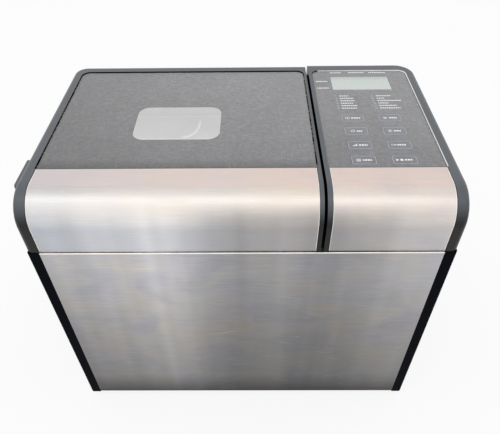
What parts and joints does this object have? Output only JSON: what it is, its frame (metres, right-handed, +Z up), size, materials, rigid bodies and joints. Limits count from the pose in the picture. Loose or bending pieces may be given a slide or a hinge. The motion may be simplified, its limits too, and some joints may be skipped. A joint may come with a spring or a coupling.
{
  "type": "bread machine",
  "caption": "Countertop bread machine with a hinged windowed lid, a control console beside it, a steel front, and an oven chamber holding a pan with a belt-driven kneading paddle.",
  "frame": {"origin": "under the middle of the case, on the surface that the feet stand on", "axes": "+X to the user's right along the width, +Y to the back, +Z up; the steel front faces -Y"},
  "size_m": [0.4095, 0.2554, 0.335],
  "materials": {
    "brushed_steel": "fine horizontal brushing",
    "case_plastic": "satin black moulding",
    "frame_plastic": "satin charcoal moulding",
    "grey_plate": "satin grey inlay",
    "window_glass": "pale tinted pane",
    "display_glass": "pale liquid crystal window",
    "key_film": "satin grey key cap",
    "silicone": "moulded silicone",
    "liner_aluminium": "drawn sheet",
    "chamber_metal": "aluminised sheet",
    "heater_sheath": "heat-darkened steel sheath",
    "pan_coating": "dark non-stick coat",
    "paddle_coating": "dark non-stick coat",
    "bright_wire": "polished wire",
    "machined_steel": "turned",
    "bronze": "sintered bronze",
    "zinc_sheet": "zinc-plated sheet",
    "cast_housing": "die cast",
    "pulley_plastic": "glass-filled nylon",
    "belt_rubber": "ribbed belt",
    "motor_iron": "laminated core, varnished",
    "capacitor_case": "moulded can",
    "circuit_board": "solder mask",
    "module_plastic": "moulded",
    "switch_plastic": "moulded",
    "gland_nylon": "moulded nylon",
    "foot_rubber": "moulded",
    "screw_steel": "zinc plated",
    "lamp_glass": "frosted lens"
  },
  "bodies": {
    "case": {"base_tray": "case_plastic", "feet": "foot_rubber", "chassis_plate": "zinc_sheet", "front_panel": "brushed_steel", "left_side_panel": "case_plastic", "right_side_panel": "case_plastic", "rear_panel": "zinc_sheet", "cord_gland": "gland_nylon", "case_screws": "screw_steel", "top_deck": "frame_plastic", "hinge_bracket": "machined_steel", "console_housing": "frame_plastic", "console_skin": "brushed_steel", "control_board": "circuit_board", "tact_switches": "switch_plastic", "control_panel": "grey_plate", "display_window": "display_glass", "display_module": "module_plastic", "oven_chamber": "chamber_metal", "heater_element": "heater_sheath", "heater_clips": "zinc_sheet", "chamber_lamp": "lamp_glass", "temperature_probe": "machined_steel", "pan_seat": "cast_housing", "bearing_housing": "cast_housing", "drive_bearings": "bronze", "drive_belt": "belt_rubber", "motor_case": "motor_iron", "motor_capacitor": "capacitor_case", "heat_shield": "zinc_sheet", "power_board": "circuit_board"},
    "lid": {"lid_frame": "frame_plastic", "lid_plate": "grey_plate", "lid_skin": "brushed_steel", "lid_window": "window_glass", "window_seal": "silicone", "lid_liner": "liner_aluminium", "lid_grip": "frame_plastic", "hinge_pins": "machined_steel"},
    "pan": {"bread_pan": "pan_coating", "pan_bush": "bronze"},
    "handle": {"pan_handle": "bright_wire"},
    "kneader": {"pan_shaft": "machined_steel", "kneading_paddle": "paddle_coating"},
    "drive": {"drive_shaft": "machined_steel", "drive_coupler": "cast_housing", "drive_pulley": "pulley_plastic"},
    "motor_rotor": {"motor_shaft": "machined_steel", "motor_pulley": "pulley_plastic"},
    "stage_key_body": {"stage_key": "key_film"},
    "time_key_body": {"time_key": "key_film"},
    "level_key_body": {"level_key": "key_film"},
    "menu_key_body": {"menu_key": "key_film"},
    "pause_key_body": {"pause_key": "key_film"},
    "light_key_body": {"light_key": "key_film"},
    "browning_key_body": {"browning_key": "key_film"},
    "start_key_body": {"start_key": "key_film"}
  },
  "joints": [
    {"name": "lid_hinge", "type": "hinge", "parent": "case", "child": "lid", "pos_m": [-0.06, 0.11275, 0.32], "axis": [-1, 0, 0], "range_deg": [0, 95]},
    {"name": "pan_lift", "type": "slide", "parent": "case", "child": "pan", "axis": [0, 0, 1], "range_m": [0, 0.03]},
    {"name": "handle_swing", "type": "hinge", "parent": "pan", "child": "handle", "pos_m": [-0.066, 0, 0.225], "axis": [-1, 0, 0], "range_deg": [0, 180]},
    {"name": "drive_spin", "type": "hinge", "parent": "case", "child": "drive", "pos_m": [-0.066, 0, 0.03], "axis": [0, 0, 1], "continuous": true},
    {"name": "motor_spin", "type": "hinge", "parent": "case", "child": "motor_rotor", "pos_m": [0.13, 0, 0.03], "axis": [0, 0, 1], "continuous": true},
    {"name": "kneader_spin", "type": "hinge", "parent": "pan", "child": "kneader", "pos_m": [-0.066, 0, 0.09], "axis": [0, 0, 1], "continuous": true},
    {"name": "stage_key_press", "type": "slide", "parent": "case", "child": "stage_key_body", "axis": [0, 0, -1], "range_m": [0, 0.0005], "stiffness_N_per_m": 300, "springref_m": -0.001},
    {"name": "time_key_press", "type": "slide", "parent": "case", "child": "time_key_body", "axis": [0, 0, -1], "range_m": [0, 0.0005], "stiffness_N_per_m": 300, "springref_m": -0.001},
    {"name": "level_key_press", "type": "slide", "parent": "case", "child": "level_key_body", "axis": [0, 0, -1], "range_m": [0, 0.0005], "stiffness_N_per_m": 300, "springref_m": -0.001},
    {"name": "menu_key_press", "type": "slide", "parent": "case", "child": "menu_key_body", "axis": [0, 0, -1], "range_m": [0, 0.0005], "stiffness_N_per_m": 300, "springref_m": -0.001},
    {"name": "pause_key_press", "type": "slide", "parent": "case", "child": "pause_key_body", "axis": [0, 0, -1], "range_m": [0, 0.0005], "stiffness_N_per_m": 300, "springref_m": -0.001},
    {"name": "light_key_press", "type": "slide", "parent": "case", "child": "light_key_body", "axis": [0, 0, -1], "range_m": [0, 0.0005], "stiffness_N_per_m": 300, "springref_m": -0.001},
    {"name": "browning_key_press", "type": "slide", "parent": "case", "child": "browning_key_body", "axis": [0, 0, -1], "range_m": [0, 0.0005], "stiffness_N_per_m": 300, "springref_m": -0.001},
    {"name": "start_key_press", "type": "slide", "parent": "case", "child": "start_key_body", "axis": [0, 0, -1], "range_m": [0, 0.0005], "stiffness_N_per_m": 300, "springref_m": -0.001}
  ],
  "couplings": [
    {"joint": "motor_spin", "follows": "drive_spin", "ratio": 3.5},
    {"joint": "kneader_spin", "follows": "drive_spin", "ratio": 1}
  ]
}
